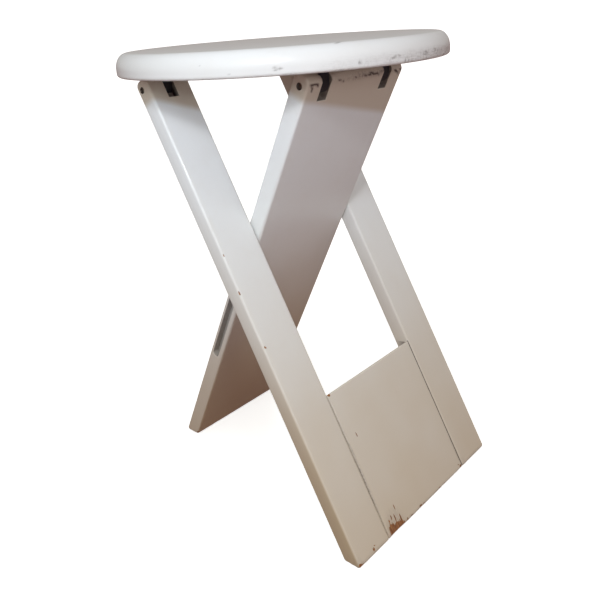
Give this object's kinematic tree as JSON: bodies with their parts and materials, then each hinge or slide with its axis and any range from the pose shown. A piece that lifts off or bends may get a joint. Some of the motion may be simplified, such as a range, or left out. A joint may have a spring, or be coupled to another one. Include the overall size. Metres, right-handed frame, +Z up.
{
  "type": "folding stool",
  "caption": "Round-topped folding wooden stool: a wide board crosses inside a two-sided frame and both fold flat under the seat.",
  "frame": {"origin": "on the floor, under the middle of the open stool's overall length and width", "axes": "+Z up; the hinge lines run along Y; +X is the side where the outer frame's foot stands"},
  "size_m": [0.3454, 0.342, 0.5],
  "materials": {
    "seat_lacquer": "white satin lacquer, scuffed at the rim",
    "leg_lacquer": "white satin lacquer, chipped to the wood at edges",
    "strap_plastic": "matt black moulded plastic",
    "pin_steel": "dull steel rod",
    "screw_steel": "zinc plated screw",
    "dowel_wood": "bare beech dowel"
  },
  "bodies": {
    "seat_body": {"seat": "seat_lacquer", "outer_strap_left": "strap_plastic", "outer_strap_right": "strap_plastic", "inner_strap_left": "strap_plastic", "inner_strap_right": "strap_plastic", "outer_strap_left_screw_1": "screw_steel", "outer_strap_left_screw_2": "screw_steel", "outer_strap_right_screw_1": "screw_steel", "outer_strap_right_screw_2": "screw_steel", "inner_strap_left_screw_1": "screw_steel", "inner_strap_left_screw_2": "screw_steel", "inner_strap_right_screw_1": "screw_steel", "inner_strap_right_screw_2": "screw_steel"},
    "outer_leg": {"side_board_left": "leg_lacquer", "side_board_right": "leg_lacquer", "bottom_panel": "leg_lacquer", "outer_hinge_pin_left": "pin_steel", "outer_hinge_pin_right": "pin_steel", "guide_pin_left": "pin_steel", "guide_pin_right": "pin_steel", "panel_dowel_left_1": "dowel_wood", "panel_dowel_left_2": "dowel_wood", "panel_dowel_left_3": "dowel_wood", "panel_dowel_right_1": "dowel_wood", "panel_dowel_right_2": "dowel_wood", "panel_dowel_right_3": "dowel_wood"},
    "inner_leg_body": {"inner_leg": "leg_lacquer", "inner_hinge_pin_left": "pin_steel", "inner_hinge_pin_right": "pin_steel"}
  },
  "joints": [
    {"name": "outer_leg_fold", "type": "hinge", "parent": "seat_body", "child": "outer_leg", "pos_m": [-0.07974, 0, 0.463], "axis": [0, 1, 0], "range_deg": [0, 117.5]},
    {"name": "inner_leg_fold", "type": "hinge", "parent": "seat_body", "child": "inner_leg_body", "pos_m": [0.08626, 0, 0.463], "axis": [0, 1, 0], "range_deg": [0, 62.5]}
  ],
  "couplings": [
    {"joint": "inner_leg_fold", "follows": "outer_leg_fold", "ratio": 0.5319}
  ]
}
